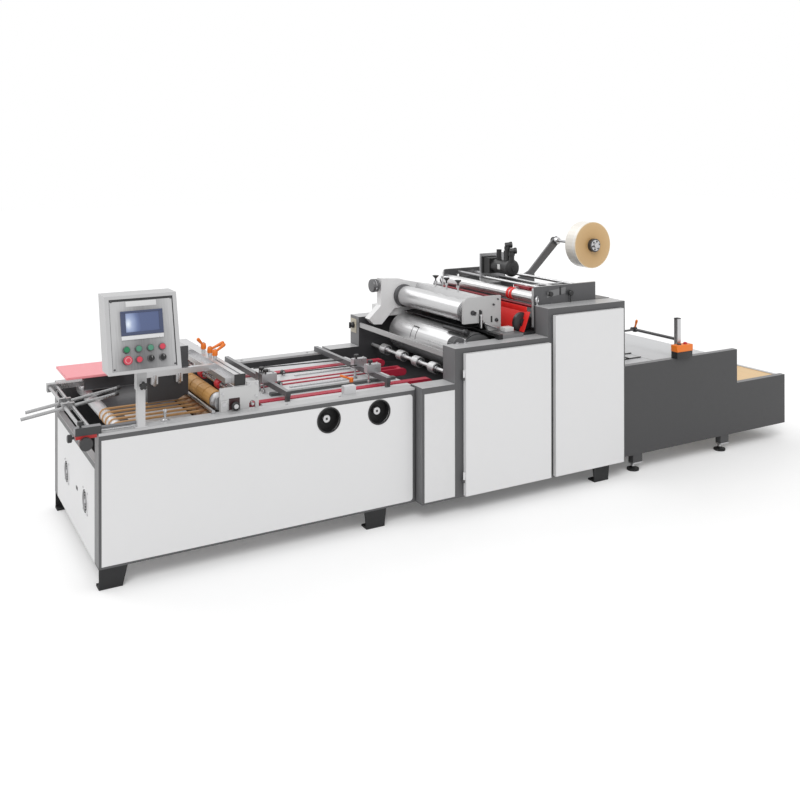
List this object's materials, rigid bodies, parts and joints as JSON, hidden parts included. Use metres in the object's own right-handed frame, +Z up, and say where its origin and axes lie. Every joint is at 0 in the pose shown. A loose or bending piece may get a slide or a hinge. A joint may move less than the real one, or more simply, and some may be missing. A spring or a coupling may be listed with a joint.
{
  "type": "window patching machine",
  "caption": "Long carton window patching machine with feed table, gluing press, film reel, delivery belt, doors and a swivel operator panel.",
  "frame": {"origin": "middle of the floor area under the whole machine, at floor level", "axes": "+X the way the cartons travel, +Y from the operator's side to the far side, +Z up"},
  "size_m": [4.916, 1.34, 1.526],
  "materials": {
    "white_paint": "semi-gloss powder coat",
    "grey_paint": "semi-gloss powder coat",
    "light_paint": "satin paint",
    "steel": "ground",
    "aluminium": "anodised",
    "black_plastic": "moulded",
    "red_belt": "woven back, smooth face",
    "tan_belt": "woven",
    "pink_paint": "satin paint",
    "film_roll": "wound clear film",
    "red_paint": "gloss paint",
    "wood": "clear varnish"
  },
  "bodies": {
    "frame": {"feed_front_panel": "white_paint", "feed_rear_panel": "white_paint", "feed_end_panel": "white_paint", "infeed_deck": "white_paint", "press_rear_cover": "white_paint", "tall_rear_cover": "white_paint", "feed_front_wall": "grey_paint", "feed_rear_wall": "grey_paint", "feed_end_wall": "grey_paint", "press_front_housing": "grey_paint", "press_rear_housing": "grey_paint", "press_base": "grey_paint", "cross_bar_1": "grey_paint", "cross_bar_2": "grey_paint", "stack_guide_front": "grey_paint", "stack_guide_rear": "grey_paint", "roller_cross_rail": "grey_paint", "film_cover": "grey_paint", "film_plate_front": "grey_paint", "film_plate_rear": "grey_paint", "reel_arm": "grey_paint", "belt_side_rail": "grey_paint", "delivery_front_side": "grey_paint", "delivery_rear_side": "grey_paint", "delivery_end_wall": "grey_paint", "bridge_bracket_front": "light_paint", "bridge_bracket_rear": "light_paint", "conveyor_table": "light_paint", "roller_bracket_front": "light_paint", "roller_bracket_rear": "light_paint", "press_cross_bar": "light_paint", "delivery_belt": "light_paint", "panel_post": "light_paint", "loading_rods": "steel", "glue_tray": "steel", "film_rollers": "steel", "infeed_stop_bar": "steel", "feed_bridge": "aluminium", "delivery_guide": "aluminium", "film_motor": "black_plastic", "belt_lane_front": "red_belt", "belt_lane_middle": "red_belt", "belt_lane_rear": "red_belt", "wheel_shaft": "red_belt", "film_apron": "red_paint", "infeed_belts": "tan_belt", "side_tray": "pink_paint", "catch_table": "wood"},
    "left_door": {"press_door": "white_paint"},
    "right_door": {"tall_door": "white_paint"},
    "crank_1": {"crank_spindle_1": "steel"},
    "crank_2": {"crank_spindle_2": "steel"},
    "timing": {"timing_roller": "tan_belt"},
    "drum": {"plate_drum": "steel"},
    "gluing": {"glue_roller": "steel"},
    "nip": {"nip_shaft": "steel"},
    "reel": {"film_reel": "film_roll"},
    "panel": {"operator_panel": "light_paint", "panel_face": "steel"}
  },
  "joints": [
    {"name": "press_door_hinge", "type": "hinge", "parent": "frame", "child": "left_door", "pos_m": [-0.2485, -0.657, 0.4], "axis": [0, 0, -1], "range_deg": [0, 100]},
    {"name": "tall_door_hinge", "type": "hinge", "parent": "frame", "child": "right_door", "pos_m": [0.9225, -0.657, 0.4], "axis": [0, 0, 1], "range_deg": [0, 100]},
    {"name": "crank_1_spin", "type": "hinge", "parent": "frame", "child": "crank_1", "pos_m": [-1.032, -0.527, 0.612], "axis": [0, 1, 0], "continuous": true},
    {"name": "crank_2_spin", "type": "hinge", "parent": "frame", "child": "crank_2", "pos_m": [-0.736, -0.527, 0.612], "axis": [0, 1, 0], "continuous": true},
    {"name": "timing_roller_spin", "type": "hinge", "parent": "frame", "child": "timing", "pos_m": [-1.574, 0, 0.75], "axis": [0, 1, 0], "continuous": true},
    {"name": "plate_drum_spin", "type": "hinge", "parent": "frame", "child": "drum", "pos_m": [0.002, 0, 0.81], "axis": [0, 1, 0], "continuous": true},
    {"name": "glue_roller_spin", "type": "hinge", "parent": "frame", "child": "gluing", "pos_m": [0.002, 0, 1.045], "axis": [0, 1, 0], "continuous": true},
    {"name": "nip_shaft_spin", "type": "hinge", "parent": "frame", "child": "nip", "pos_m": [-0.193, 0, 0.722], "axis": [0, 1, 0], "continuous": true},
    {"name": "film_reel_spin", "type": "hinge", "parent": "frame", "child": "reel", "pos_m": [1.142, 0, 1.37], "axis": [0, 1, 0], "continuous": true},
    {"name": "operator_panel_swivel", "type": "hinge", "parent": "frame", "child": "panel", "pos_m": [-1.993, -0.558, 1.143], "axis": [0, 0, 1], "range_deg": [-60, 60]}
  ],
  "couplings": [
    {"joint": "glue_roller_spin", "follows": "plate_drum_spin", "ratio": -1.8485}
  ]
}
